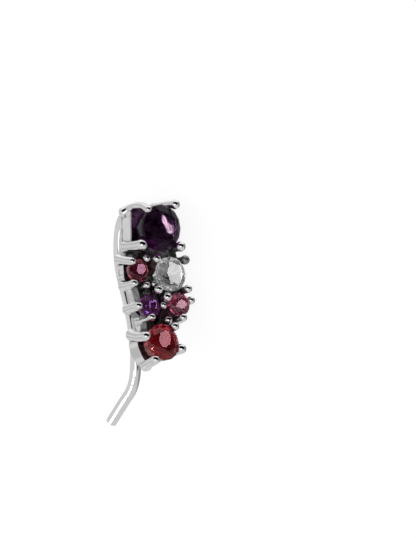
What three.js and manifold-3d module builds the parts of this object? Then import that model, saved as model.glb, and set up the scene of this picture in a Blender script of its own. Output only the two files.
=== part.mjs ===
// A cluster earring of the climber kind: six round stones in four rows on one soldered silver
// setting, with a bent ear wire behind. Sizes are in millimetres.
//
// It is drawn in the maker's frame: x runs across the cluster, y along it towards the largest
// stone, and z out of its front. At the end the whole earring is laid on its side, as it rests.
import * as THREE from 'three';
import { ConvexGeometry } from 'three/addons/geometries/ConvexGeometry.js';
import { ConvexHull } from 'three/addons/math/ConvexHull.js';
import { mergeVertices } from 'three/addons/utils/BufferGeometryUtils.js';
import Module from 'manifold-3d';

// The back of the cluster follows a shallow arc along its length, hollow towards the front.
const backArc = { radius: 63, lowestAlong: -4.05, thickness: 0.6 };

// Outline of the back plate, seen from the front.
const backOutline = [
  { across: -1.85, along: 2.1 },
  { across: -1.9, along: -1.9 },
  { across: -2.3, along: -2.7 },
  { across: -2.1, along: -4.6 },
  { across: -1.3, along: -5.2 },
  { across: -0.95, along: -8.6 },
  { across: -1.4, along: -9.4 },
  { across: -1.1, along: -11.2 },
  { across: 0.4, along: -11.2 },
  { across: 1.4, along: -9.2 },
  { across: 2.5, along: -7.6 },
  { across: 2.6, along: -5.4 },
  { across: 2.3, along: -2.6 },
  { across: 1.75, along: -1.9 },
  { across: 1.75, along: 2.1 },
];

// One row for each stone. across, along: centre of its setting on the back. lift: height of the
// girdle over the back. basket, corner, wall: half width, corner radius and height of the basket,
// turned by turn. Each prong has its foot at an angle and a distance from the centre, foot and
// out, and its tip at tip and reach, at rise over the girdle. wire and bead: radius of its stem and
// of the bead at its tip.
const settings = [
  {
    stone: 'amethyst_large', colour: 0x2a1233, diameter: 4.0, across: -0.1, along: 0.21, lift: 3.2,
    basket: 1.95, corner: 0.6, wall: 1.45, turn: 0,
    prongs: [
      { foot: 54, out: 2.7, tip: 59, reach: 2.35, rise: 0.45, wire: 0.33, bead: 0.43 },
      { foot: 130, out: 2.55, tip: 135, reach: 2.12, rise: 0.2, wire: 0.35, bead: 0.33 },
      { foot: 223, out: 2.2, tip: 217, reach: 2.55, rise: -0.05, wire: 0.48, bead: 0.5 },
      { foot: 315, out: 2.2, tip: 316, reach: 2.3, rise: 0.55, wire: 0.38, bead: 0.45 },
    ],
  },
  {
    stone: 'garnet_small', colour: 0x5a0f22, diameter: 2.0, across: -1.72, along: -3.55, lift: 1.95,
    basket: 0.85, corner: 0.4, wall: 0.95, turn: 0,
    prongs: [
      { foot: 50, out: 1.15, tip: 56, reach: 1.25, rise: 0.3, wire: 0.3, bead: 0.34 },
      { foot: 125, out: 1.42, tip: 138, reach: 1.1, rise: 0.25, wire: 0.37, bead: 0.37 },
      { foot: 246, out: 1.25, tip: 240, reach: 1.3, rise: 0.15, wire: 0.37, bead: 0.37 },
      { foot: 290, out: 1.45, tip: 296, reach: 1.4, rise: 0.2, wire: 0.25, bead: 0.32 },
    ],
  },
  {
    stone: 'topaz_white', colour: 0xe4e6e8, diameter: 3.0, across: 1.01, along: -3.91, lift: 2.9,
    basket: 1.4, corner: 0.6, wall: 1.3, turn: 0,
    prongs: [
      { foot: 45, out: 1.7, tip: 42, reach: 1.82, rise: 0.35, wire: 0.33, bead: 0.4 },
      { foot: 135, out: 1.7, tip: 135, reach: 1.85, rise: -0.15, wire: 0.3, bead: 0.36 },
      { foot: 225, out: 1.7, tip: 226, reach: 1.88, rise: -0.15, wire: 0.34, bead: 0.38 },
      { foot: 315, out: 1.7, tip: 317, reach: 1.92, rise: 0.45, wire: 0.32, bead: 0.37 },
    ],
  },
  {
    stone: 'amethyst_small', colour: 0x43206b, diameter: 2.0, across: -0.83, along: -6.73, lift: 2.0,
    basket: 0.85, corner: 0.4, wall: 0.9, turn: 45,
    prongs: [
      { foot: 3, out: 1.1, tip: 3, reach: 1.25, rise: 0.3, wire: 0.28, bead: 0.34 },
      { foot: 97, out: 1.1, tip: 97, reach: 1.2, rise: 0, wire: 0.25, bead: 0.3 },
      { foot: 181, out: 1.12, tip: 181, reach: 1.22, rise: 0.05, wire: 0.39, bead: 0.4 },
      { foot: 268, out: 1.15, tip: 268, reach: 0.98, rise: 0.2, wire: 0.3, bead: 0.35 },
    ],
  },
  {
    stone: 'pink_stone', colour: 0xa5506f, diameter: 2.0, across: 1.75, along: -6.63, lift: 2.9,
    basket: 0.9, corner: 0.4, wall: 1.3, turn: 0,
    prongs: [
      { foot: 30, out: 1.1, tip: 17, reach: 1.15, rise: 0.15, wire: 0.28, bead: 0.37 },
      { foot: 140, out: 1.15, tip: 154, reach: 1.36, rise: -0.1, wire: 0.28, bead: 0.37 },
      { foot: 232, out: 1.3, tip: 236, reach: 1.54, rise: -0.7, wire: 0.3, bead: 0.35 },
      { foot: 290, out: 1.3, tip: 272, reach: 1.2, rise: 0.2, wire: 0.38, bead: 0.38 },
    ],
  },
  {
    stone: 'garnet_red', colour: 0x7d1220, diameter: 3.2, across: -0.41, along: -10.15, lift: 2.8,
    basket: 1.45, corner: 1.1, wall: 1.25, turn: 20,
    prongs: [
      { foot: 60, out: 1.6, tip: 49, reach: 1.76, rise: 0.4, wire: 0.3, bead: 0.37 },
      { foot: 140, out: 1.8, tip: 165, reach: 1.85, rise: 0.05, wire: 0.44, bead: 0.45 },
      { foot: 259, out: 1.5, tip: 236, reach: 1.86, rise: 0, wire: 0.42, bead: 0.42 },
      { foot: 335, out: 1.5, tip: 338, reach: 1.68, rise: 0.4, wire: 0.38, bead: 0.45 },
    ],
  },
];

// A short round peg that fills the gap between the second and third rows.
const fillerPeg = { across: -0.42, along: -4.75, height: 2.0, radius: 0.3 };

// Cut of every stone, as shares of its diameter. The belly is where the deep lower half turns in.
const cut = {
  facets: 8, table: 0.58, crown: 0.17, girdle: 0.08, belly: 0.88, bellyDrop: 0.24, pavilion: 0.54,
};

// Space left between a stone and the metal that holds it, so that the two never share material.
const stoneGap = 0.04;

// Wall of every basket, and how far its hollow is cut past the rim.
const basketThickness = 0.3;
const hollowPastRim = 1;

// Weight of the silver and of an average stone, in milligrams for each cubic millimetre.
const density = { silver: 10.36, stone: 3.2 };

// The side that it is laid on is one that faces right (along x) at least this much.
const rightwards = 0.5;

const earWireSize = { radius: 0.46, sides: 12, steps: 34 };
// Centre line of the ear wire, seen from the side: along, and height over the back (below is minus).
const wireCourse = [
  { along: 1.55, height: 0.3 },
  { along: 1.75, height: -1.0 },
  { along: 1.62, height: -1.95 },
  { along: 0.99, height: -2.5 },
  { along: -0.17, height: -2.85 },
  { along: -1.55, height: -2.98 },
  { along: -2.78, height: -2.88 },
  { along: -4.14, height: -2.54 },
  { along: -5.5, height: -2.11 },
  { along: -7.75, height: -1.62 },
  { along: -9.52, height: -1.44 },
  { along: -10.82, height: -1.48 },
  { along: -12.1, height: -1.7 },
  { along: -12.91, height: -2.06 },
  { along: -13.54, height: -2.58 },
  { along: -14.2, height: -3.47 },
  { along: -15.67, height: -5.39 },
];

// A prong bows out past its tip by this much, at this share of its height.
const prongBow = { out: 0.16, at: 0.72 };
const prongSides = 8;
// Where a turned peg has its rings: shares of its rounded foot, of its stem and of its bead.
const pegRings = { foot: [0, 1 / 3, 2 / 3, 1], stem: [1 / 3, 2 / 3], bead: [0, 0.33, 0.6, 0.82, 1] };
const roundCornerSteps = 3;

// Corners closer than this are one corner.
const weld = 1e-5;

const wasm = await Module();
wasm.setup();

function radians(degrees) {
  return THREE.MathUtils.degToRad(degrees);
}

// A closed three.js shape as a solid that can be joined and cut.
function toSolid(geometry, matrix = new THREE.Matrix4()) {
  const bare = geometry.clone().applyMatrix4(matrix);
  bare.deleteAttribute('normal');
  bare.deleteAttribute('uv');
  const merged = mergeVertices(bare, weld);
  return new wasm.Manifold(new wasm.Mesh({
    numProp: 3,
    vertProperties: new Float32Array(merged.attributes.position.array),
    triVerts: new Uint32Array(merged.index.array),
  }));
}

function toGeometry(solid) {
  const mesh = solid.getMesh();
  const geometry = new THREE.BufferGeometry();
  geometry.setAttribute('position', new THREE.BufferAttribute(mesh.vertProperties, 3));
  geometry.setIndex(new THREE.BufferAttribute(mesh.triVerts, 1));
  geometry.computeVertexNormals();
  return geometry;
}

// Place and lean of a spot on the arched back.
function backFrame(across, along) {
  const lean = (along - backArc.lowestAlong) / backArc.radius;
  const y = backArc.lowestAlong + backArc.radius * Math.sin(lean);
  const z = backArc.radius * (1 - Math.cos(lean));
  return new THREE.Matrix4().makeTranslation(across, y, z)
    .multiply(new THREE.Matrix4().makeRotationX(lean));
}

// A point at an angle round the z axis.
function onCircle(radius, degrees, height) {
  const angle = radians(degrees);
  return new THREE.Vector3(radius * Math.cos(angle), radius * Math.sin(angle), height);
}

// A round brilliant cut with its girdle at height 0: the corners of its facets, whose outer skin is
// the stone. grow thickens it all round, for the seat that it leaves in the metal.
function stoneGeometry(diameter, grow = 0) {
  const main = 360 / cut.facets;
  const half = main / 2;
  const radius = diameter / 2 + grow;
  const tableRadius = cut.table * diameter / 2;
  const girdleTop = cut.girdle * diameter / 2 + grow;
  const crownTop = girdleTop + cut.crown * diameter;
  const bellyRadius = cut.belly * radius;
  const bellyHeight = -girdleTop - cut.bellyDrop * diameter;
  const culet = -girdleTop - cut.pavilion * diameter - grow;
  const starRadius = (tableRadius + radius) / 2;
  const crownSlope = (crownTop - girdleTop) / (radius - tableRadius);
  const starHeight = crownTop - crownSlope * (starRadius * Math.cos(radians(half)) - tableRadius);
  const points = [new THREE.Vector3(0, 0, culet)];
  for (let i = 0; i < cut.facets; i += 1) {
    points.push(onCircle(tableRadius, i * main, crownTop));
    points.push(onCircle(starRadius, i * main + half, starHeight));
    for (const turn of [i * main, i * main + half]) {
      points.push(onCircle(radius, turn, girdleTop));
      points.push(onCircle(radius, turn, -girdleTop));
      points.push(onCircle(bellyRadius, turn, bellyHeight));
    }
  }
  return new ConvexGeometry(points);
}

function roundedSquare(half, corner) {
  const shape = new THREE.Shape();
  const inner = half - corner;
  shape.absarc(inner, inner, corner, 0, Math.PI / 2, false);
  shape.absarc(-inner, inner, corner, Math.PI / 2, Math.PI, false);
  shape.absarc(-inner, -inner, corner, Math.PI, Math.PI * 1.5, false);
  shape.absarc(inner, -inner, corner, Math.PI * 1.5, Math.PI * 2, false);
  shape.closePath();
  return shape;
}

// An upright block with round corners, from one height to another.
function block(half, corner, from, to) {
  const geometry = new THREE.ExtrudeGeometry(roundedSquare(half, corner), {
    depth: to - from, bevelEnabled: false, curveSegments: roundCornerSteps,
  });
  return geometry.translate(0, 0, from);
}

// One prong: a round wire from its foot on the back, past the girdle and over the crown, with a
// rounded foot and a bead at its tip. It is turned straight, then bent along its curve.
function prongSolid(row, prong) {
  const top = row.lift + prong.rise;
  const foot = onCircle(prong.out, prong.foot, prong.wire);
  const bow = onCircle(prong.reach + prongBow.out, prong.tip, top * prongBow.at);
  const tip = onCircle(prong.reach, prong.tip, top);
  const sideways = onCircle(1, prong.tip + 90, 0);
  const curve = new THREE.QuadraticBezierCurve3(foot, bow, tip);
  return toSolid(bendAlong(peg(prong.wire, prong.bead, curve.getLength()), curve, sideways));
}

// A turned peg that stands on y = 0: a rounded foot below, a bead of its own radius above.
function peg(wire, bead, length) {
  const neck = Math.acos(Math.min(1, wire / bead));
  const profile = [];
  for (const share of pegRings.foot) {
    const angle = (share - 1) * Math.PI / 2;
    profile.push(new THREE.Vector2(wire * Math.cos(angle), wire * Math.sin(angle)));
  }
  for (const share of pegRings.stem) {
    profile.push(new THREE.Vector2(wire, length * share));
  }
  for (const share of pegRings.bead) {
    const angle = THREE.MathUtils.lerp(-neck, Math.PI / 2, share);
    profile.push(new THREE.Vector2(bead * Math.cos(angle), length + bead * Math.sin(angle)));
  }
  profile[0].x = 0;
  profile[profile.length - 1].x = 0;
  return new THREE.LatheGeometry(profile, prongSides);
}

// Moves an upright turned body so that its axis follows the curve. sideways is across the bend.
function bendAlong(geometry, curve, sideways) {
  const length = curve.getLength();
  const places = geometry.attributes.position;
  for (let i = 0; i < places.count; i += 1) {
    const share = THREE.MathUtils.clamp(places.getY(i) / length, 0, 1);
    const ahead = curve.getTangentAt(share);
    const outward = new THREE.Vector3().crossVectors(sideways, ahead).normalize();
    const across = new THREE.Vector3().crossVectors(outward, ahead);
    const spot = curve.getPointAt(share)
      .addScaledVector(ahead, places.getY(i) - share * length)
      .addScaledVector(outward, places.getX(i))
      .addScaledVector(across, places.getZ(i));
    places.setXYZ(i, spot.x, spot.y, spot.z);
  }
  return geometry;
}

// The basket under a stone with its prongs, cut to the shape of the stone that sits in it.
function basketSolid(row) {
  const hollowHalf = row.basket - basketThickness;
  const hollowCorner = row.corner - basketThickness;
  const hollowTop = row.wall + hollowPastRim;
  const outer = toSolid(block(row.basket, row.corner, 0, row.wall));
  const hollow = toSolid(block(hollowHalf, hollowCorner, backArc.thickness, hollowTop));
  let solid = outer.subtract(hollow).rotate([0, 0, row.turn]);
  for (const prong of row.prongs) {
    solid = solid.add(prongSolid(row, prong));
  }
  return solid;
}

// The back plate: its outline made thick, then bent over the arc.
function backPlate() {
  const outline = backOutline.map((spot) => new THREE.Vector2(spot.across, spot.along));
  const geometry = new THREE.ExtrudeGeometry(new THREE.Shape(outline), {
    depth: backArc.thickness, bevelEnabled: false,
  });
  const places = geometry.attributes.position;
  const spot = new THREE.Vector3();
  for (let i = 0; i < places.count; i += 1) {
    spot.fromBufferAttribute(places, i);
    const raised = new THREE.Vector3(0, 0, spot.z).applyMatrix4(backFrame(spot.x, spot.y));
    places.setXYZ(i, raised.x, raised.y, raised.z);
  }
  return geometry;
}

function earWire() {
  const section = new THREE.Shape();
  section.moveTo(earWireSize.radius, 0);
  for (let i = 1; i < earWireSize.sides; i += 1) {
    const spot = onCircle(earWireSize.radius, i * 360 / earWireSize.sides, 0);
    section.lineTo(spot.x, spot.y);
  }
  const points = wireCourse.map((spot) => new THREE.Vector3(0, spot.along, spot.height));
  return new THREE.ExtrudeGeometry(section, {
    extrudePath: new THREE.CatmullRomCurve3(points, false, 'centripetal'),
    steps: earWireSize.steps,
    bevelEnabled: false,
  });
}

function asMesh(name, geometry, look) {
  const mesh = new THREE.Mesh(geometry, new THREE.MeshStandardMaterial(look));
  mesh.name = name;
  return mesh;
}

// Place of a stone: the middle of its girdle.
function stoneFrame(row) {
  return backFrame(row.across, row.along)
    .multiply(new THREE.Matrix4().makeTranslation(0, 0, row.lift));
}

// All the silver as one soldered body. The stones' seats are cut last, through every prong.
function settingSolid() {
  let solid = toSolid(backPlate()).add(toSolid(earWire()));
  for (const row of settings) {
    solid = solid.add(basketSolid(row).transform(backFrame(row.across, row.along).elements));
  }
  const filler = peg(fillerPeg.radius, fillerPeg.radius, fillerPeg.height);
  filler.rotateX(Math.PI / 2).translate(0, 0, fillerPeg.radius);
  solid = solid.add(toSolid(filler, backFrame(fillerPeg.across, fillerPeg.along)));
  for (const row of settings) {
    solid = solid.subtract(toSolid(stoneGeometry(row.diameter, stoneGap), stoneFrame(row)));
  }
  return solid;
}

// The earring upright, as it is drawn: the silver and the six stones.
function uprightEarring() {
  const group = new THREE.Group();
  const silver = asMesh('silver_setting', toGeometry(settingSolid()), {
    color: 0xd8d8da, roughness: 0.18, metalness: 1,
  });
  silver.userData.density = density.silver;
  group.add(silver);
  for (const row of settings) {
    const geometry = stoneGeometry(row.diameter).applyMatrix4(stoneFrame(row));
    const stone = asMesh(row.stone, geometry, { color: row.colour, roughness: 0.05, metalness: 0 });
    stone.userData.density = density.stone;
    group.add(stone);
  }
  return group;
}

// The corners of a mesh, three for each triangle.
function corners(mesh) {
  const geometry = mesh.geometry.index ? mesh.geometry.toNonIndexed() : mesh.geometry;
  const places = geometry.attributes.position;
  const list = [];
  for (let i = 0; i < places.count; i += 1) {
    list.push(new THREE.Vector3().fromBufferAttribute(places, i));
  }
  return list;
}

// Centre of mass, from the tetrahedra that each triangle makes with the origin.
function massCentre(meshes) {
  const centre = new THREE.Vector3();
  let total = 0;
  for (const mesh of meshes) {
    const list = corners(mesh);
    for (let i = 0; i < list.length; i += 3) {
      const [a, b, c] = list.slice(i, i + 3);
      const mass = mesh.userData.density * new THREE.Vector3().crossVectors(b, c).dot(a) / 6;
      total += mass;
      centre.addScaledVector(a, mass / 4).addScaledVector(b, mass / 4).addScaledVector(c, mass / 4);
    }
  }
  return centre.divideScalar(total);
}

// True where the point lies over the face of the hull that has this first edge.
function isOver(face, point) {
  let edge = face.edge;
  do {
    const start = edge.tail().point;
    const side = new THREE.Vector3().subVectors(edge.head().point, start);
    const reach = new THREE.Vector3().subVectors(point, start);
    if (side.cross(reach).dot(face.normal) < 0) return false;
    edge = edge.next;
  } while (edge !== face.edge);
  return true;
}

// The face of the hull that the earring comes to rest on when it is laid on its right side: of
// those with the centre of mass over them, the one that brings that centre lowest.
function restingFace(meshes) {
  const hull = new ConvexHull().setFromPoints(meshes.flatMap(corners));
  const centre = massCentre(meshes);
  const stable = hull.faces.filter((face) => face.normal.x > rightwards && isOver(face, centre));
  stable.sort((a, b) => b.distanceToPoint(centre) - a.distanceToPoint(centre));
  return stable[0];
}

// Turned so that the resting face is down and the largest stone points to +Y, with the origin on
// the ground below the middle.
function layDown(upright) {
  const up = restingFace(upright.children).normal.clone().negate();
  const right = new THREE.Vector3(0, 1, 0).cross(up).normalize();
  const ahead = new THREE.Vector3().crossVectors(up, right);
  upright.quaternion.setFromRotationMatrix(new THREE.Matrix4().makeBasis(right, ahead, up).transpose());
  upright.updateMatrixWorld(true);
  const box = new THREE.Box3().setFromObject(upright, true);
  const middle = box.getCenter(new THREE.Vector3());
  upright.position.set(-middle.x, -middle.y, -box.min.z);
  return upright;
}

const earring = new THREE.Group();
earring.add(layDown(uprightEarring()));

export default earring;
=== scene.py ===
import math

import bmesh
import bpy
from mathutils import Matrix, Vector, geometry


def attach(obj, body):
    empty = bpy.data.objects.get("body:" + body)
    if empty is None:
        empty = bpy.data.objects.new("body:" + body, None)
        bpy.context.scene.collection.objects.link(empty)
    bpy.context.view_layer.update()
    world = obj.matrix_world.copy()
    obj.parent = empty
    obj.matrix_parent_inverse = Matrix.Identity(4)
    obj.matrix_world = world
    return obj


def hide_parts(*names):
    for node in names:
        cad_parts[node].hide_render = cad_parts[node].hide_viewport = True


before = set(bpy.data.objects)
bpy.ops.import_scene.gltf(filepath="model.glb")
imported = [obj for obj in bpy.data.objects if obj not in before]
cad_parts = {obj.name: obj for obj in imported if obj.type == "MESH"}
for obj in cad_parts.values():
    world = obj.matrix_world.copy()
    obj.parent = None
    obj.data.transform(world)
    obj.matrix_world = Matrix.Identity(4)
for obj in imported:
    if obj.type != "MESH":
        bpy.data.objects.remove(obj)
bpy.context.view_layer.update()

# Sizes are in millimetres and angles in degrees, in the maker's frame: x runs across the cluster,
# y along it towards the largest stone, z out of its front. Every metal part is made there, and
# moved at the end to where the earring lies.

backPlate = {
    "arcRadius": 63, "lowestAlong": -4.05, "thickness": 0.6, "corner": 0.35, "edge": 0.09,
    "bendStep": 0.7, "cornerSteps": 4, "edgeSteps": 3,
    "outline": [
        (-1.85, 2.1), (-1.9, -1.9), (-2.3, -2.7), (-2.1, -4.6), (-1.3, -5.2), (-0.95, -8.6),
        (-1.4, -9.4), (-1.1, -11.2), (0.4, -11.2), (1.4, -9.2), (2.5, -7.6), (2.6, -5.4),
        (2.3, -2.6), (1.75, -1.9), (1.75, 2.1)],
}

# One row for each stone: the middle of its setting on the back, the height of its girdle over the
# back, its basket, and its prongs. A prong has its foot at an angle and a distance from the middle
# (foot, out), its tip at tip and reach and at rise over the girdle, and the radius of its stem and
# of the bead at its tip.
settings = [
    {"stone": "amethyst_large", "diameter": 4.0, "across": -0.1, "along": 0.21, "lift": 3.2,
     "basket": 1.95, "corner": 0.6, "wall": 1.45, "turn": 0, "prongs": [
         {"foot": 54, "out": 2.5, "tip": 59, "reach": 2.35, "rise": 0.45, "wire": 0.33, "bead": 0.43},
         {"foot": 142, "out": 2.35, "tip": 135, "reach": 2.12, "rise": 0.2, "wire": 0.37, "bead": 0.34,
          "bow": 0.42, "bowTurn": -24, "bowAt": 0.4},
         {"foot": 223, "out": 2.2, "tip": 217, "reach": 2.55, "rise": -0.05, "wire": 0.48, "bead": 0.5},
         {"foot": 315, "out": 2.2, "tip": 316, "reach": 2.3, "rise": 0.55, "wire": 0.38, "bead": 0.45}]},
    {"stone": "garnet_small", "diameter": 2.0, "across": -1.72, "along": -3.55, "lift": 1.95,
     "basket": 0.85, "corner": 0.4, "wall": 0.95, "turn": 0, "prongs": [
         {"foot": 50, "out": 1.15, "tip": 56, "reach": 1.25, "rise": 0.3, "wire": 0.3, "bead": 0.38},
         {"foot": 125, "out": 1.42, "tip": 138, "reach": 1.1, "rise": 0.25, "wire": 0.37, "bead": 0.37},
         {"foot": 246, "out": 1.25, "tip": 240, "reach": 1.3, "rise": 0.15, "wire": 0.37, "bead": 0.37},
         {"foot": 290, "out": 1.45, "tip": 296, "reach": 1.4, "rise": 0.2, "wire": 0.25, "bead": 0.36}]},
    {"stone": "topaz_white", "diameter": 3.0, "across": 1.01, "along": -3.91, "lift": 2.9,
     "basket": 1.4, "corner": 0.6, "wall": 1.3, "turn": 0, "prongs": [
         {"foot": 45, "out": 1.7, "tip": 42, "reach": 1.82, "rise": 0.35, "wire": 0.33, "bead": 0.41,
          "tipFinish": "dull"},
         {"foot": 135, "out": 1.7, "tip": 135, "reach": 1.85, "rise": -0.15, "wire": 0.3, "bead": 0.4},
         {"foot": 225, "out": 1.7, "tip": 226, "reach": 1.88, "rise": -0.15, "wire": 0.34, "bead": 0.41},
         {"foot": 315, "out": 1.7, "tip": 317, "reach": 1.92, "rise": 0.45, "wire": 0.32, "bead": 0.37}]},
    {"stone": "amethyst_small", "diameter": 2.0, "across": -0.83, "along": -6.73, "lift": 2.0,
     "basket": 0.75, "corner": 0.45, "wall": 0.9, "turn": 45, "plain": True, "prongs": [
         {"foot": 3, "out": 1.1, "tip": 3, "reach": 1.25, "rise": 0.3, "wire": 0.28, "bead": 0.39},
         {"foot": 97, "out": 1.1, "tip": 97, "reach": 1.2, "rise": 0, "wire": 0.25, "bead": 0.3,
          "finish": "dark", "tipFinish": "dark"},
         {"foot": 181, "out": 1.12, "tip": 181, "reach": 1.22, "rise": 0.05, "wire": 0.39, "bead": 0.4},
         {"foot": 268, "out": 1.15, "tip": 268, "reach": 0.98, "rise": 0.2, "wire": 0.3, "bead": 0.38}]},
    {"stone": "pink_stone", "diameter": 2.0, "across": 1.75, "along": -6.63, "lift": 2.9,
     "basket": 0.9, "corner": 0.4, "wall": 1.3, "turn": 0, "prongs": [
         {"foot": 30, "out": 1.1, "tip": 17, "reach": 1.15, "rise": 0.15, "wire": 0.28, "bead": 0.37},
         {"foot": 140, "out": 1.15, "tip": 154, "reach": 1.36, "rise": -0.1, "wire": 0.28, "bead": 0.42},
         {"foot": 232, "out": 1.3, "tip": 236, "reach": 1.54, "rise": -0.7, "wire": 0.3, "bead": 0.4},
         {"foot": 290, "out": 1.3, "tip": 272, "reach": 1.2, "rise": 0.2, "wire": 0.38, "bead": 0.38}]},
    {"stone": "garnet_red", "diameter": 3.2, "across": -0.41, "along": -10.15, "lift": 2.8,
     "basket": 1.45, "corner": 1.1, "wall": 1.25, "turn": 20, "prongs": [
         {"foot": 60, "out": 1.6, "tip": 49, "reach": 1.76, "rise": 0.4, "wire": 0.3, "bead": 0.4},
         {"foot": 140, "out": 1.8, "tip": 165, "reach": 1.85, "rise": 0.05, "wire": 0.44, "bead": 0.45},
         {"foot": 259, "out": 1.5, "tip": 236, "reach": 1.86, "rise": 0, "wire": 0.42, "bead": 0.42},
         {"foot": 335, "out": 1.5, "tip": 338, "reach": 1.68, "rise": 0.4, "wire": 0.38, "bead": 0.45}]},
]

stoneCut = {"crown": 0.17, "girdle": 0.08, "gap": 0.03}
meshing = {"mergeWithin": 1e-4, "stoneMergeWithin": 1e-7, "sameFacet": 0.9999, "softUpTo": 38}


def backPlace(across, along):
    # place and lean of a spot on the arched back
    radius = backPlate["arcRadius"]
    lean = (along - backPlate["lowestAlong"]) / radius
    rise = radius * (1 - math.cos(lean))
    spot = Vector((across, backPlate["lowestAlong"] + radius * math.sin(lean), rise))
    return Matrix.Translation(spot) @ Matrix.Rotation(lean, 4, "X")


def tableAsDrawn(row):
    height = row["lift"] + row["diameter"] * (stoneCut["girdle"] / 2 + stoneCut["crown"])
    return backPlace(row["across"], row["along"]) @ Vector((0, 0, height))


def tableAsLaid(row):
    # middle of the widest flat facet of the stone
    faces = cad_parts[row["stone"]].data.polygons
    def facet(first):
        return [face for face in faces if face.normal.dot(first.normal) > meshing["sameFacet"]]
    table = max((facet(first) for first in faces), key=lambda some: sum(face.area for face in some))
    whole = sum(face.area for face in table)
    return sum((face.center * face.area for face in table), Vector()) / whole


def axesThrough(a, b, c):
    along = (b - a).normalized()
    across = (c - a).cross(along).normalized()
    return Matrix((along, across, along.cross(across))).transposed()


def findPlace(rows):
    drawn = [tableAsDrawn(row) for row in rows]
    laid = [tableAsLaid(row) for row in rows]
    turn = axesThrough(*laid) @ axesThrough(*drawn).transposed()
    start = laid[0] - turn @ (drawn[0] / 1000)
    return Matrix.Translation(start) @ turn.to_4x4() @ Matrix.Scale(0.001, 4)


place = findPlace([settings[0], settings[5], settings[2]])
facing = place.to_3x3().normalized()
print("the earring lies with its front to", [round(part, 3) for part in facing @ Vector((0, 0, 1))])


def onCircle(radius, degrees, height):
    angle = math.radians(degrees)
    return Vector((radius * math.cos(angle), radius * math.sin(angle), height))


class Course:
    # a line measured along its length, which goes straight on past both ends
    def __init__(self, points):
        self.points = points
        self.lengths = [0.0]
        for a, b in zip(points, points[1:]):
            self.lengths.append(self.lengths[-1] + (b - a).length)

    def heading(self, index):
        before = self.points[max(index - 1, 0)]
        after = self.points[min(index + 1, len(self.points) - 1)]
        return (after - before).normalized()

    def at(self, length):
        index = 0
        while index < len(self.points) - 2 and self.lengths[index + 1] < length:
            index += 1
        span = self.lengths[index + 1] - self.lengths[index]
        share = min(max((length - self.lengths[index]) / span, 0), 1)
        spot = self.points[index].lerp(self.points[index + 1], share)
        heading = self.heading(index).lerp(self.heading(index + 1), share).normalized()
        past = length - min(max(length, 0), self.lengths[-1])
        return spot + heading * past, heading


def smoothThrough(points, steps):
    # a centripetal Catmull-Rom line: every stretch is a Bezier curve
    ends = [2 * points[0] - points[1], *points, 2 * points[-1] - points[-2]]
    line = [points[0]]
    for before, a, b, after in zip(ends, ends[1:], ends[2:], ends[3:]):
        t0, t1, t2 = [math.sqrt((q - p).length) for p, q in ((before, a), (a, b), (b, after))]
        leave = ((a - before) / t0 - (b - before) / (t0 + t1) + (b - a) / t1) * t1
        arrive = ((b - a) / t1 - (after - a) / (t1 + t2) + (after - b) / t2) * t1
        line += geometry.interpolate_bezier(a, a + leave / 3, b - arrive / 3, b, steps)[1:]
    return Course(line)


def turned(profile, sides):
    # a closed body turned about z from steps of (radius, height), the first and last on the axis
    bm = bmesh.new()
    chain = [bm.verts.new((radius, 0, height)) for radius, height in profile]
    for a, b in zip(chain, chain[1:]):
        bm.edges.new((a, b))
    bmesh.ops.spin(bm, geom=bm.verts[:] + bm.edges[:], cent=(0, 0, 0), axis=(0, 0, 1),
                   angle=math.tau, steps=sides, use_merge=True)
    bmesh.ops.remove_doubles(bm, verts=bm.verts, dist=meshing["mergeWithin"])
    bmesh.ops.recalc_face_normals(bm, faces=bm.faces)
    return bm


def bend(bm, course, sideways):
    # moves an upright body so that its axis follows the course; sideways is across the bend
    for vert in bm.verts:
        spot, heading = course.at(vert.co.z)
        outward = sideways.cross(heading).normalized()
        vert.co = spot + outward * vert.co.x + heading.cross(outward) * vert.co.y


prongShape = {
    "bow": 0.16, "bowAt": 0.72, "bowTurn": 0, "sides": 32, "footRings": 5,
    "stemRings": 20, "beadRings": 9,
    "flare": 0.3, "flareTo": 0.35, "tipFrom": 0.6, "bowSteps": 40,
}


def pegProfile(wire, bead, length):
    # a rounded foot that is wider than the stem, and a bead
    neck = math.acos(min(1, wire / bead))
    profile = []
    foot = wire * (1 + prongShape["flare"])
    for i in range(prongShape["footRings"] + 1):
        angle = (i / prongShape["footRings"] - 1) * math.pi / 2
        profile.append((foot * math.cos(angle), wire * math.sin(angle)))
    for i in range(1, prongShape["stemRings"]):
        share = i / prongShape["stemRings"]
        flare = max(0, 1 - share / prongShape["flareTo"]) ** 2 * prongShape["flare"]
        profile.append((wire * (1 + flare), length * share))
    for i in range(prongShape["beadRings"] + 1):
        angle = -neck + (math.pi / 2 + neck) * i / prongShape["beadRings"]
        profile.append((bead * math.cos(angle), length + bead * math.sin(angle)))
    profile[0] = (0, -wire)
    profile[-1] = (0, length + bead)
    return profile


def makeProng(row, prong):
    top = row["lift"] + prong["rise"]
    foot = onCircle(prong["out"], prong["foot"], prong["wire"])
    way = {**prongShape, **prong}
    bow = onCircle(way["reach"] + way["bow"], way["tip"] + way["bowTurn"], top * way["bowAt"])
    tip = onCircle(prong["reach"], prong["tip"], top)
    # the quadratic curve foot, bow, tip, written as a cubic one
    points = geometry.interpolate_bezier(foot, foot.lerp(bow, 2 / 3), tip.lerp(bow, 2 / 3), tip,
                                         prongShape["bowSteps"])
    course = Course(points)
    length = course.lengths[-1]
    bm = turned(pegProfile(prong["wire"], prong["bead"], length), prongShape["sides"])
    for face in bm.faces:
        if face.calc_center_median().z > length - prong["bead"] * prongShape["tipFrom"]:
            face.material_index = finishes[prong.get("tipFinish", "tip")]
        else:
            face.material_index = finishes[prong.get("finish", "polished")]
    bend(bm, course, onCircle(1, prong["tip"] + 90, 0))
    return bm


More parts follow.
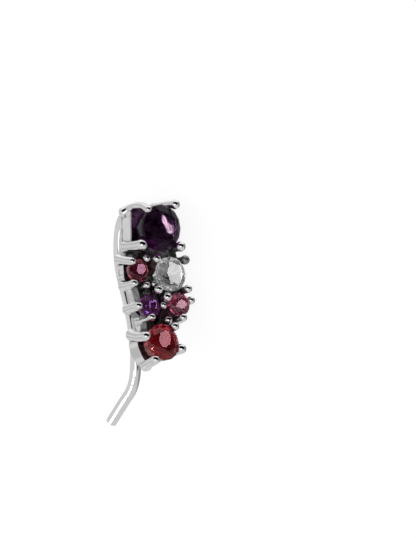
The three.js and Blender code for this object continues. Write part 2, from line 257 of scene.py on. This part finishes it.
earWire = {
    "radius": 0.48, "sides": 48, "step": 0.12, "cutEdge": 0.05, "bendSteps": 24,
    "course": [
        (1.55, 0.3), (1.75, -1.0), (1.62, -1.95), (0.99, -2.5), (-0.17, -2.85), (-1.55, -2.98),
        (-2.78, -2.88), (-4.14, -2.54), (-5.5, -2.11), (-7.75, -1.62), (-9.52, -1.44),
        (-10.82, -1.48), (-12.1, -1.7), (-12.91, -2.06), (-13.54, -2.58), (-14.2, -3.47),
        (-15.75, -5.5)],
}


def earWireCourse():
    return smoothThrough([Vector((0, along, height)) for along, height in earWire["course"]],
                         earWire["bendSteps"])


def makeEarWire():
    course = earWireCourse()
    length = course.lengths[-1]
    radius, cut = earWire["radius"], earWire["cutEdge"]
    steps = round(length / earWire["step"])
    profile = [(0, 0), (radius, 0)]
    profile += [(radius, length * i / steps) for i in range(1, steps)]
    profile += [(radius, length - cut), (radius - cut, length), (0, length)]
    bm = turned(profile, earWire["sides"])
    bend(bm, course, Vector((1, 0, 0)))
    return bm


basketShape = {
    "rim": 0.1, "wall": 0.3, "cornerSteps": 6,
    "dish": [(0.12, 0), (0.07, -0.03), (0.09, -0.065), (0.1, -0.04)],  # insets and depths of a panel
}


def makeBasket(row):
    half, wall = row["basket"], row["wall"]
    bm = bmesh.new()
    bmesh.ops.create_cube(bm, size=2 * half)
    bmesh.ops.scale(bm, verts=bm.verts, vec=(1, 1, wall / (2 * half)))
    bmesh.ops.translate(bm, verts=bm.verts, vec=(0, 0, wall / 2))
    upright = [edge for edge in bm.edges if abs(edge.verts[0].co.z - edge.verts[1].co.z) > wall / 2]
    bmesh.ops.bevel(bm, geom=upright, offset=row["corner"], segments=basketShape["cornerSteps"],
                    affect="EDGES", profile=0.5, material=-1)
    sides = [face for face in bm.faces if abs(face.normal.z) < 0.5 and face.calc_area() > half * wall / 2]
    for panel in sides:
        if "plain" in row:
            panel.material_index = finishes["dull"]
        else:
            for thickness, depth in basketShape["dish"]:
                bmesh.ops.inset_region(bm, faces=[panel], thickness=thickness, depth=depth)
    top = max(bm.faces, key=lambda face: face.calc_center_median().z)
    bmesh.ops.inset_region(bm, faces=[top], thickness=basketShape["rim"])
    bmesh.ops.inset_region(bm, faces=[top], thickness=basketShape["wall"] - basketShape["rim"])
    bmesh.ops.translate(bm, verts=top.verts, vec=(0, 0, backPlate["thickness"] - wall))
    for face in [top, *(face for edge in top.edges for face in edge.link_faces)]:
        face.material_index = finishes["dark"]
    bmesh.ops.rotate(bm, verts=bm.verts, matrix=Matrix.Rotation(math.radians(row["turn"]), 3, "Z"))
    return bm


beading = {"stone": "amethyst_large", "radius": 0.085, "pitch": 0.18}


def makeBeading(row):
    # a row of grains along the straight parts of the basket's rim
    bm = bmesh.new()
    straight = row["basket"] - row["corner"]
    count = round(2 * straight / beading["pitch"])
    for i in range(count + 1):
        along = (i / count * 2 - 1) * straight
        for turn in (0, 90, 180, 270):
            spot = Matrix.Rotation(math.radians(turn), 4, "Z") @ Matrix.Translation(
                (row["basket"] - beading["radius"], along, row["wall"]))
            bmesh.ops.create_icosphere(bm, subdivisions=2, radius=beading["radius"], matrix=spot)
    return bm


def makeBackPlate():
    bm = bmesh.new()
    outline = bm.faces.new([bm.verts.new((across, along, 0)) for across, along in backPlate["outline"]])
    raised = bmesh.ops.extrude_face_region(bm, geom=[outline])["geom"]
    bmesh.ops.translate(bm, verts=[part for part in raised if isinstance(part, bmesh.types.BMVert)],
                        vec=(0, 0, backPlate["thickness"]))
    upright = [edge for edge in bm.edges if edge.verts[0].co.z != edge.verts[1].co.z]
    bmesh.ops.bevel(bm, geom=upright, offset=backPlate["corner"], segments=backPlate["cornerSteps"],
                    affect="EDGES", profile=0.5, material=-1)
    bmesh.ops.recalc_face_normals(bm, faces=bm.faces)
    flat = [face for face in bm.faces if abs(face.normal.z) > 0.9]
    rims = {edge for face in flat for edge in face.edges}
    bmesh.ops.bevel(bm, geom=list(rims), offset=backPlate["edge"], segments=backPlate["edgeSteps"],
                    affect="EDGES", profile=0.5, material=-1)
    low = min(vert.co.y for vert in bm.verts)
    high = max(vert.co.y for vert in bm.verts)
    cuts = round((high - low) / backPlate["bendStep"])
    for i in range(1, cuts):
        bmesh.ops.bisect_plane(bm, geom=bm.verts[:] + bm.edges[:] + bm.faces[:],
                               plane_co=(0, low + (high - low) * i / cuts, 0), plane_no=(0, 1, 0))
    for vert in bm.verts:
        vert.co = backPlace(vert.co.x, vert.co.y) @ Vector((0, 0, vert.co.z))
    return bm


# Webs of darkened silver between neighbouring settings: the two stones, the width, and the height
# over the back.
webs = [
    ("amethyst_large", "garnet_small", 1.5, 1.5), ("amethyst_large", "topaz_white", 2.6, 2.6),
    ("garnet_small", "topaz_white", 1.6, 1.6), ("garnet_small", "amethyst_small", 0.6, 1.4),
    ("topaz_white", "amethyst_small", 1.6, 1.6), ("topaz_white", "pink_stone", 1.5, 2.3),
    ("amethyst_small", "pink_stone", 1.5, 1.6), ("amethyst_small", "garnet_red", 0.8, 1.5),
    ("pink_stone", "garnet_red", 1.5, 1.8),
]

# A web is polished on the outside up to a share of its height. Faces that look far enough out are outer.
webShape = {"brightUpTo": 0.45, "outerFrom": -0.3}


def makeWeb(first, second, width, height):
    a, b = [Vector((row["across"], row["along"])) for name in (first, second)
            for row in settings if row["stone"] == name]
    middle = (a + b) / 2
    bm = bmesh.new()
    bmesh.ops.create_cube(bm, size=1)
    bmesh.ops.scale(bm, verts=bm.verts, vec=((b - a).length, width, height))
    turn = Matrix.Rotation(math.atan2(b.y - a.y, b.x - a.x), 4, "Z")
    lift = Matrix.Translation((0, 0, height / 2 + backPlate["edge"]))
    bmesh.ops.transform(bm, matrix=backPlace(middle.x, middle.y) @ lift @ turn, verts=bm.verts)
    bmesh.ops.recalc_face_normals(bm, faces=bm.faces)
    split = backPlace(middle.x, middle.y) @ Vector((0, 0, height * webShape["brightUpTo"]))
    bmesh.ops.bisect_plane(bm, geom=bm.verts[:] + bm.edges[:] + bm.faces[:], plane_co=split,
                           plane_no=(0, 0, 1))
    for face in bm.faces:
        outer = "polished" if face.calc_center_median().z < split.z else "dull"
        face.material_index = finishes[outer if face.normal.x < webShape["outerFrom"] else "dark"]
    return bm


fillerPeg = {"across": -0.42, "along": -4.75, "height": 2.0, "radius": 0.3}


def makeFiller():
    radius, height = fillerPeg["radius"], fillerPeg["height"]
    bm = turned(pegProfile(radius, radius, height), prongShape["sides"])
    bmesh.ops.translate(bm, verts=bm.verts, vec=(0, 0, radius))
    return bm


def keep(bm, name, matrix=Matrix()):
    bmesh.ops.transform(bm, matrix=matrix, verts=bm.verts)
    mesh = bpy.data.meshes.new(name)
    bm.to_mesh(mesh)
    bm.free()
    made = bpy.data.objects.new(name, mesh)
    bpy.context.scene.collection.objects.link(made)
    return made


def combine(base, others, operation):
    # joins the others to the base, or cuts them out of it, and uses them up
    for other in others:
        step = base.modifiers.new("step", "BOOLEAN")
        step.operation = operation
        step.solver = "MANIFOLD"
        step.object = other
    seen = bpy.context.evaluated_depsgraph_get()
    mesh = bpy.data.meshes.new_from_object(base.evaluated_get(seen))
    base.modifiers.clear()
    base.data = mesh
    for other in others:
        bpy.data.objects.remove(other)


def seatCutter(row):
    # the stone itself, a little larger, in the maker's frame
    bm = bmesh.new()
    bm.from_mesh(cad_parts[row["stone"]].data)
    bmesh.ops.remove_doubles(bm, verts=bm.verts, dist=meshing["stoneMergeWithin"])
    bmesh.ops.transform(bm, matrix=place.inverted(), verts=bm.verts)
    middle = sum((vert.co for vert in bm.verts), Vector()) / len(bm.verts)
    grow = 1 + 2 * stoneCut["gap"] / row["diameter"]
    bmesh.ops.translate(bm, verts=bm.verts, vec=-middle)
    bmesh.ops.scale(bm, verts=bm.verts, vec=(grow, grow, grow))
    bmesh.ops.translate(bm, verts=bm.verts, vec=middle)
    return keepSilver(bm)


def keepSilver(bm, matrix=Matrix()):
    made = keep(bm, "part", matrix)
    for finish in silverFinishes:
        made.data.materials.append(finish)
    return made


def makeSetting():
    metal = keepSilver(makeBackPlate())
    parts = [keepSilver(makeEarWire())]
    parts.append(keepSilver(makeFiller(), backPlace(fillerPeg["across"], fillerPeg["along"])))
    parts += [keepSilver(makeWeb(*web)) for web in webs]
    for row in settings:
        spot = backPlace(row["across"], row["along"])
        parts.append(keepSilver(makeBasket(row), spot))
        parts += [keepSilver(makeProng(row, prong), spot) for prong in row["prongs"]]
        if row["stone"] == beading["stone"]:
            parts.append(keepSilver(makeBeading(row), spot))
    print("joining", len(parts) + 1, "parts of silver")
    combine(metal, parts, "UNION")
    combine(metal, [seatCutter(row) for row in settings], "DIFFERENCE")
    metal.data.transform(place)
    softenByAngle(metal.data, meshing["softUpTo"])
    return metal


def softenByAngle(mesh, degrees):
    bm = bmesh.new()
    bm.from_mesh(mesh)
    for face in bm.faces:
        face.smooth = True
    for edge in bm.edges:
        edge.smooth = edge.calc_face_angle(0) < math.radians(degrees)
    bm.to_mesh(mesh)
    bm.free()


class Sock:
    # a socket that Python's operators work on
    def __init__(self, shade, value):
        self.shade, self.value = shade, value

    def maths(self, operation, *others):
        return self.shade.node("ShaderNodeMath", {"operation": operation}, self, *others)

    def __add__(self, other):
        return self.maths("ADD", other)

    def __sub__(self, other):
        return self.maths("SUBTRACT", other)

    def __mul__(self, other):
        return self.maths("MULTIPLY", other)

    def __truediv__(self, other):
        return self.maths("DIVIDE", other)

    def __rsub__(self, other):
        return self.shade.node("ShaderNodeMath", {"operation": "SUBTRACT"}, other, self)

    __radd__ = __add__
    __rmul__ = __mul__

    def step(self, low, high):
        # 0 under low, 1 over high, smooth between
        smooth = {"interpolation_type": "SMOOTHSTEP"}
        return self.shade.node("ShaderNodeMapRange", smooth, self, low, high, 0, 1)


class Shade:
    def __init__(self, tree):
        self.tree = tree
        self.tree.nodes.clear()

    def node(self, kind, setup, *values, out=0, **named):
        made = self.tree.nodes.new(kind)
        for key, value in setup.items():
            setattr(made, key, value)
        for key, value in [*enumerate(values), *named.items()]:
            socket = made.inputs[key.replace("_", " ") if isinstance(key, str) else key]
            if isinstance(value, Sock):
                self.tree.links.new(value.value, socket)
            elif value is not None:
                socket.default_value = value
        return Sock(self, made.outputs[out]) if made.outputs else made

    def mix(self, factor, a, b):
        made = self.tree.nodes.new("ShaderNodeMix")
        made.data_type = "RGBA"
        for index, value in ((0, factor), (6, a), (7, b)):
            if isinstance(value, Sock):
                self.tree.links.new(value.value, made.inputs[index])
            else:
                made.inputs[index].default_value = value
        return Sock(self, made.outputs[2])


def newMaterial(name):
    made = bpy.data.materials.new(name)
    made.use_nodes = True
    return made, Shade(made.node_tree)


# The crease colour is painted shade: narrow gaps and creases between parts are darkened towards it.
silverLook = {
    "bright": (0.93, 0.93, 0.93, 1), "worn": (0.84, 0.84, 0.84, 1), "creaseShade": (0.3, 0.3, 0.31, 1),
    "darkened": (0.07, 0.068, 0.07, 1), "greyed": (0.28, 0.27, 0.27, 1),
    "recessReach": 0.0016, "creaseShadeReach": 0.0004, "roughness": 0.08, "darkRoughness": 0.4,
    "waveScale": 1300, "waveHeight": 0.000025, "fineScale": 9000, "blotchScale": 2600,
    "recessStep": (0.3, 0.62), "creaseShadeStep": (0.35, 0.85), "blotchStep": (0.4, 0.7),
    "fineBump": 0.02, "fineRough": 0.04,
}

# How far each finish is darkened all over, and in its hollows.
silverKinds = {
    "polished": {"tarnish": 0, "recess": 1}, "dark": {"tarnish": 1, "recess": 0},
    "tip": {"tarnish": 0, "recess": 0.12}, "dull": {"tarnish": 0.72, "recess": 0.28},
}
finishes = {name: number for number, name in enumerate(silverKinds)}


def silverMaterial(name, kind):
    made, shade = newMaterial(name + "_silver")
    spot = shade.node("ShaderNodeTexCoord", {}, out=3)
    around = shade.node("ShaderNodeAmbientOcclusion", {"samples": 16}, None,
                        silverLook["recessReach"], out=1)
    close = shade.node("ShaderNodeAmbientOcclusion", {"samples": 8}, None,
                       silverLook["creaseShadeReach"], out=1)
    recess = kind["tarnish"] + (1 - around.step(*silverLook["recessStep"])) * kind["recess"]
    # painted shade in narrow gaps and creases between parts, found by a short occlusion test
    creaseShade = 1 - close.step(*silverLook["creaseShadeStep"])
    wave = shade.node("ShaderNodeTexNoise", {}, spot, None, silverLook["waveScale"], 1, 0.5)
    fine = shade.node("ShaderNodeTexNoise", {}, spot, None, silverLook["fineScale"], 2, 0.5)
    blotch = shade.node("ShaderNodeTexNoise", {}, spot, None, silverLook["blotchScale"], 2, 0.5)
    bump = shade.node("ShaderNodeBump", {}, 1, silverLook["waveHeight"],
                      Height=wave + fine * silverLook["fineBump"])
    polished = shade.mix(wave, silverLook["worn"], silverLook["bright"])
    creaseShaded = shade.mix(creaseShade, polished, silverLook["creaseShade"])
    blotched = blotch.step(*silverLook["blotchStep"])
    darkened = shade.mix(blotched, silverLook["darkened"], silverLook["greyed"])
    colour = shade.mix(recess, creaseShaded, darkened)
    rough = silverLook["roughness"] + fine * silverLook["fineRough"] + recess * silverLook["darkRoughness"]
    surface = shade.node("ShaderNodeBsdfPrincipled", {}, Base_Color=colour, Roughness=rough,
                         Metallic=1.0, Normal=bump)
    shade.node("ShaderNodeOutputMaterial", {}, surface)
    return made


# shine tints what a stone mirrors, body and depth its colour, and the last two its painted glow: a faint
# light of its own, given off in patches, that stands for light reflected inside the stone.
gems = {
    "amethyst_large": {"shine": (0.14, 0.09, 0.145, 1), "ior": 1.38, "body": (0.6, 0.17, 0.62, 1),
                       "depth": 1150, "paintedGlow": (0.065, 0.03, 0.07, 1), "paintedGlowStrength": 0.15},
    "garnet_small": {"shine": (0.5, 0.25, 0.35, 1), "ior": 1.76, "body": (0.68, 0.16, 0.28, 1),
                     "depth": 1050, "paintedGlow": (0.3, 0.02, 0.06, 1), "paintedGlowStrength": 0.08},
    "topaz_white": {"shine": (1, 1, 1, 1), "ior": 1.62, "body": (0.95, 0.95, 0.96, 1),
                    "depth": 260, "paintedGlow": (1, 1, 1, 1), "paintedGlowStrength": 0.13},
    "amethyst_small": {"shine": (0.5, 0.4, 0.55, 1), "ior": 1.55, "body": (0.62, 0.2, 0.6, 1),
                       "depth": 1500, "paintedGlow": (0.3, 0.08, 0.3, 1), "paintedGlowStrength": 0.1},
    "pink_stone": {"shine": (0.8, 0.55, 0.63, 1), "ior": 1.74, "body": (0.82, 0.36, 0.54, 1),
                   "depth": 950, "paintedGlow": (0.5, 0.06, 0.15, 1), "paintedGlowStrength": 0.1},
    "garnet_red": {"shine": (0.7, 0.34, 0.36, 1), "ior": 1.76, "body": (0.78, 0.12, 0.24, 1),
                   "depth": 850, "paintedGlow": (0.6, 0.04, 0.05, 1), "paintedGlowStrength": 0.08},
}


gemSurface = {
    "zoneScale": 700, "palest": (1, 1, 1, 1), "deepest": (0.9, 0.9, 0.9, 1), "paintedGlowStep": (0.35, 0.65),
    "bumpStrength": 0.05, "bumpHeight": 0.000015,
}


def gemMaterial(name, look):
    made, shade = newMaterial(name + "_gem")
    spot = shade.node("ShaderNodeTexCoord", {}, out=3)
    zones = shade.node("ShaderNodeTexNoise", {}, spot, None, gemSurface["zoneScale"], 2, 0.5)
    tint = shade.mix(zones, gemSurface["palest"], gemSurface["deepest"])
    # painted light: patches of the stone give off the glow colour, standing for light reflected inside it
    paintedGlow = shade.mix(zones.step(*gemSurface["paintedGlowStep"]), (0, 0, 0, 1), look["paintedGlow"])
    bump = shade.node("ShaderNodeBump", {}, gemSurface["bumpStrength"],
                      gemSurface["bumpHeight"], Height=zones)
    surface = shade.node("ShaderNodeBsdfPrincipled", {}, Base_Color=tint, Roughness=0.0, IOR=look["ior"],
                         Transmission_Weight=1.0, Specular_Tint=look["shine"], Normal=bump,
                         Emission_Color=paintedGlow, Emission_Strength=look["paintedGlowStrength"])
    inside = shade.node("ShaderNodeVolumeAbsorption", {}, look["body"], look["depth"])
    shade.node("ShaderNodeOutputMaterial", {}, surface, inside)
    return made


def finishStones():
    for name, look in gems.items():
        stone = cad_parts[name]
        stone.data.materials.clear()
        stone.data.materials.append(gemMaterial(name, look))
    print("cut stones finished:", len(gems))


studio = {
    "floorGlow": 0.86, "floorTone": 0.3, "floorSize": 3, "backdrop": 1.0,
    "viewTurn": 38, "viewDip": -7.5, "roll": 3.5, "lens": 300,
    "frameLong": 46.38, "rightOf": 5.99, "downFrom": 3.07,
    "nearest": 0.01, "floorDrop": 0.00002, "floorRough": 0.9,
}

# Boxes and flags of the light tent round the earring. Each is named by where a ball shows it to the
# camera: right and up from the ball's middle, as shares of its radius. tone is its brightness.
tent = {"open": 0.64, "folds": 0.3, "foldScale": 3.5, "flags": [
    {"right": -0.95, "up": 0.0, "wide": 0.4, "high": 1.1, "turn": 0, "soft": 0.5, "tone": 0.68},
    {"right": 0.95, "up": 0.1, "wide": 0.35, "high": 0.9, "turn": 0, "soft": 0.5, "tone": 0.28},
    {"right": -0.2, "up": 0.85, "wide": 0.7, "high": 0.3, "turn": 10, "soft": 0.6, "tone": 0.8},
    {"right": -0.8, "up": 0.34, "wide": 0.22, "high": 0.16, "turn": 0, "soft": 0.8, "tone": 0.52},
    {"right": -0.8, "up": -0.3, "wide": 0.3, "high": 0.16, "turn": 0, "soft": 0.8, "tone": 0.52},
    {"right": 0.1, "up": 0.66, "wide": 0.6, "high": 0.2, "turn": 0, "soft": 0.6, "tone": 1.0},
    {"right": -0.4, "up": 0.36, "wide": 0.4, "high": 0.2, "turn": 0, "soft": 0.9, "tone": 0.52},
    {"right": 0.15, "up": 0.25, "wide": 0.52, "high": 0.3, "turn": -14, "soft": 0.3, "tone": 0},
    {"right": 0.0, "up": -0.02, "wide": 0.17, "high": 0.12, "turn": 0, "soft": 0.4, "tone": 1.5},
]}

glintPlace = {"lookFrom": 20, "away": 0.004}

# Small lamps that a flat facet of one stone mirrors to the camera: where on the stone, in
# millimetres right of and above the middle of its table as the camera sees it, and how large.
glints = [
    {"stone": "amethyst_large", "right": -0.26, "up": 0.62, "wide": 0.42, "high": 1.0, "turn": 14,
     "colour": (1, 0.82, 0.98), "bright": 74},
    {"stone": "amethyst_large", "right": 0.18, "up": -0.1, "wide": 0.54, "high": 0.95, "turn": 14,
     "colour": (1, 0.82, 0.98), "bright": 74},
    {"stone": "amethyst_large", "right": -0.02, "up": 0.2, "wide": 0.5, "high": 1.2, "turn": 14,
     "colour": (1, 0.45, 0.6), "bright": 12},
    {"stone": "amethyst_large", "right": 0.8, "up": -0.2, "wide": 0.7, "high": 1.9, "turn": 0,
     "colour": (1, 0.75, 1), "bright": 8},
    {"stone": "garnet_small", "right": -0.08, "up": 0.1, "wide": 0.75, "high": 0.95, "turn": 0,
     "colour": (1, 0.85, 0.95), "bright": 9},
    {"stone": "topaz_white", "right": -0.08, "up": -0.02, "wide": 1.5, "high": 2.1, "turn": 10,
     "colour": (1, 1, 1), "bright": 8.4},
    {"stone": "topaz_white", "right": -0.12, "up": 0.88, "wide": 1.0, "high": 0.45, "turn": 10,
     "colour": (1, 1, 1), "bright": 6},
    {"stone": "topaz_white", "right": -0.36, "up": -0.7, "wide": 0.6, "high": 0.5, "turn": 0,
     "colour": (1, 1, 1), "bright": 6},
    {"stone": "topaz_white", "right": 0.06, "up": -0.86, "wide": 1.0, "high": 0.5, "turn": 10,
     "colour": (1, 1, 1), "bright": 6},
    {"stone": "amethyst_small", "right": -0.27, "up": -0.05, "wide": 0.18, "high": 0.7, "turn": 8,
     "colour": (0.75, 0.5, 1), "bright": 6},
    {"stone": "amethyst_small", "right": 0.0, "up": 0.32, "wide": 0.6, "high": 0.24, "turn": 0,
     "colour": (0.75, 0.45, 1), "bright": 10},
    {"stone": "amethyst_small", "right": 0.27, "up": -0.05, "wide": 0.18, "high": 0.6, "turn": -6,
     "colour": (0.85, 0.6, 1), "bright": 7},
    {"stone": "amethyst_small", "right": 0.0, "up": 0.6, "wide": 0.5, "high": 0.2, "turn": 0,
     "colour": (0.65, 0.3, 1), "bright": 12},
    {"stone": "amethyst_small", "right": 0.5, "up": 0.0, "wide": 0.2, "high": 0.6, "turn": 0,
     "colour": (0.85, 0.6, 1), "bright": 7},
    {"stone": "amethyst_small", "right": -0.55, "up": 0.0, "wide": 0.2, "high": 0.6, "turn": 0,
     "colour": (0.75, 0.5, 1), "bright": 6},
    {"stone": "amethyst_small", "right": -0.52, "up": -0.62, "wide": 0.24, "high": 0.28, "turn": 0,
     "colour": (0.4, 0.2, 1), "bright": 25},
    {"stone": "pink_stone", "right": -0.1, "up": -0.12, "wide": 0.8, "high": 0.75, "turn": 20,
     "colour": (1, 0.85, 0.93), "bright": 7},
    {"stone": "pink_stone", "right": -0.55, "up": -0.2, "wide": 0.35, "high": 0.4, "turn": 20,
     "colour": (1, 0.8, 0.9), "bright": 6},
    {"stone": "garnet_red", "right": -0.25, "up": 0.1, "wide": 1.0, "high": 1.5, "turn": 0,
     "colour": (1, 0.78, 0.87), "bright": 6},
    {"stone": "garnet_red", "right": -0.67, "up": 1.15, "wide": 0.2, "high": 0.3, "turn": 0,
     "colour": (1, 0.5, 0.9), "bright": 30},
    {"stone": "garnet_red", "right": -1.33, "up": -0.7, "wide": 0.18, "high": 0.5, "turn": 10,
     "colour": (1, 0.3, 0.3), "bright": 40},
]


def cameraAxes():
    # the picture's right and up, and the way to the camera, in the maker's frame
    turn, dip, roll = [math.radians(studio[key]) for key in ("viewTurn", "viewDip", "roll")]
    right = Vector((math.cos(turn), 0, math.sin(turn)))
    up = Vector((math.sin(dip) * math.sin(turn), math.cos(dip), -math.sin(dip) * math.cos(turn)))
    rolledRight = math.cos(roll) * right - math.sin(roll) * up
    rolledUp = math.cos(roll) * up + math.sin(roll) * right
    return rolledRight, rolledUp, rolledRight.cross(rolledUp)


toRight, toTop, toCamera = [facing @ axis for axis in cameraAxes()]


def makeCamera():
    right, up, back = cameraAxes()
    aim = place @ (right * studio["rightOf"] - up * studio["downFrom"])
    camera = bpy.data.objects.new("camera", bpy.data.cameras.new("camera"))
    camera.data.lens = studio["lens"]
    camera.data.clip_start = studio["nearest"]
    distance = studio["frameLong"] / 1000 * studio["lens"] / camera.data.sensor_width
    turn = Matrix((toRight, toTop, toCamera)).transposed()
    camera.matrix_world = Matrix.Translation(aim + toCamera * distance) @ turn.to_4x4()
    bpy.context.scene.collection.objects.link(camera)
    bpy.context.scene.camera = camera


def makeFloor():
    bm = bmesh.new()
    bmesh.ops.create_grid(bm, x_segments=1, y_segments=1, size=studio["floorSize"] / 2)
    bmesh.ops.translate(bm, verts=bm.verts, vec=(0, 0, -studio["floorDrop"]))
    floor = keep(bm, "floor")
    floor.visible_glossy = False
    floor.visible_transmission = False
    made, shade = newMaterial("pale_floor")
    tone = studio["floorTone"]
    surface = shade.node("ShaderNodeBsdfPrincipled", {}, Base_Color=(tone, tone, tone, 1),
                         Roughness=studio["floorRough"], Emission_Color=(1, 1, 1, 1),
                         Emission_Strength=studio["floorGlow"])
    shade.node("ShaderNodeOutputMaterial", {}, surface)
    floor.data.materials.append(made)


def makeWorld():
    world = bpy.data.worlds.new("studio")
    world.use_nodes = True
    bpy.context.scene.world = world
    shade = Shade(world.node_tree)
    direction = shade.node("ShaderNodeTexCoord", {}, out=0)
    seen = shade.node("ShaderNodeLightPath", {}, out=0)
    summed = shade.node("ShaderNodeVectorMath", {"operation": "ADD"}, direction, tuple(toCamera))
    halfway = shade.node("ShaderNodeVectorMath", {"operation": "NORMALIZE"}, summed)

    def along(axis):
        return shade.node("ShaderNodeVectorMath", {"operation": "DOT_PRODUCT"}, halfway, tuple(axis), out=1)

    right, up = along(toRight), along(toTop)
    folds = shade.node("ShaderNodeTexNoise", {}, halfway, None, tent["foldScale"], 2, 0.5)
    light = tent["open"] * (1 + (folds - 0.5) * 2 * tent["folds"])
    for flag in tent["flags"]:
        turn = math.radians(flag["turn"])
        aside, above = right - flag["right"], up - flag["up"]
        wide = (aside * math.cos(turn) + above * math.sin(turn)) / flag["wide"]
        high = (above * math.cos(turn) - aside * math.sin(turn)) / flag["high"]
        outside = (wide * wide + high * high).step(1 - flag["soft"], 1 + flag["soft"])
        light = flag["tone"] + outside * (light - flag["tone"])
    light = light + seen * (studio["backdrop"] - light)
    surface = shade.node("ShaderNodeBackground", {}, (1, 1, 1, 1), light)
    shade.node("ShaderNodeOutputWorld", {}, surface)


# A row of small lamps along the hanging end of the ear wire, which shows them as one bright streak:
# its turn round the wire from the camera's side, and where along the wire it begins.
streak = {
    "turn": -9, "from": 16.4, "past": 1, "step": 0.6, "away": 2, "wide": 1.8, "high": 0.9,
    "bright": 0.14, "spread": 60,
}


def makeStreak():
    course = earWireCourse()
    view = facing.transposed() @ toCamera
    turn = math.radians(streak["turn"])
    length = streak["from"]
    while length < course.lengths[-1] + streak["past"]:
        spot, heading = course.at(length)
        near = (view - heading * view.dot(heading)).normalized()
        normal = near * math.cos(turn) + near.cross(heading) * math.sin(turn)
        outward = 2 * normal.dot(view) * normal - view
        side = heading.cross(outward).normalized()
        axes = Matrix([facing @ axis for axis in (side, outward.cross(side), outward)]).transposed()
        middle = place @ (spot + normal * earWire["radius"] + outward * streak["away"])
        lamp = makeLamp("streak", "RECTANGLE", (streak["wide"], streak["high"]), streak["bright"])
        lamp.data.spread = math.radians(streak["spread"])
        lamp.matrix_world = Matrix.Translation(middle) @ axes.to_4x4()
        length += streak["step"]


def makeLamp(name, shape, size, bright):
    # an area lamp of a size in millimetres; bright is its radiance while its spread is left alone
    data = bpy.data.lights.new(name, "AREA")
    data.shape = shape
    data.size, data.size_y = size[0] / 1000, size[1] / 1000
    area = data.size * data.size_y * (math.pi / 4 if shape == "ELLIPSE" else 1)
    data.energy = bright * math.pi * area
    lamp = bpy.data.objects.new(name, data)
    lamp.visible_camera = lamp.visible_transmission = False
    bpy.context.scene.collection.objects.link(lamp)
    return lamp


def makeGlint(glint, stones):
    # the mirror image, in the facet, of a small lamp held flat to the camera
    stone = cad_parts[glint["stone"]]
    row = next(row for row in settings if row["stone"] == glint["stone"])
    start = tableAsLaid(row) + (toRight * glint["right"] + toTop * glint["up"] +
                               toCamera * glintPlace["lookFrom"]) / 1000
    hit, spot, normal, face = stone.ray_cast(start, -toCamera)
    if not hit:
        raise SystemExit("a glint misses " + glint["stone"])

    def mirrored(axis):
        return axis - 2 * axis.dot(normal) * normal

    turn = Matrix.Rotation(math.radians(glint["turn"]), 3, toCamera)
    axes = [mirrored(turn @ toRight), mirrored(turn @ toTop), -mirrored(toCamera)]
    lamp = makeLamp("glint", "ELLIPSE", (glint["wide"], glint["high"]), glint["bright"])
    lamp.data.color = glint["colour"]
    middle = Matrix.Translation(spot + axes[2] * glintPlace["away"])
    lamp.matrix_world = middle @ Matrix(axes).transposed().to_4x4()
    lamp.light_linking.receiver_collection = stones[glint["stone"]]


def makeGlints():
    # every stone has a group of its own, which only its own lamps light
    stones = {}
    for row in settings:
        group = bpy.data.collections.new("lit_" + row["stone"])
        group.objects.link(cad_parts[row["stone"]])
        stones[row["stone"]] = group
    for glint in glints:
        makeGlint(glint, stones)


silverFinishes = [silverMaterial(name, kind) for name, kind in silverKinds.items()]
setting = makeSetting()
setting.name = "silver_cluster"
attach(setting, "root")
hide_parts("silver_setting")
print("silver:", len(setting.data.polygons), "faces")
finishStones()
makeFloor()
makeWorld()
makeCamera()
makeGlints()
makeStreak()
bpy.context.scene.view_settings.view_transform = "Standard"
print("studio set")
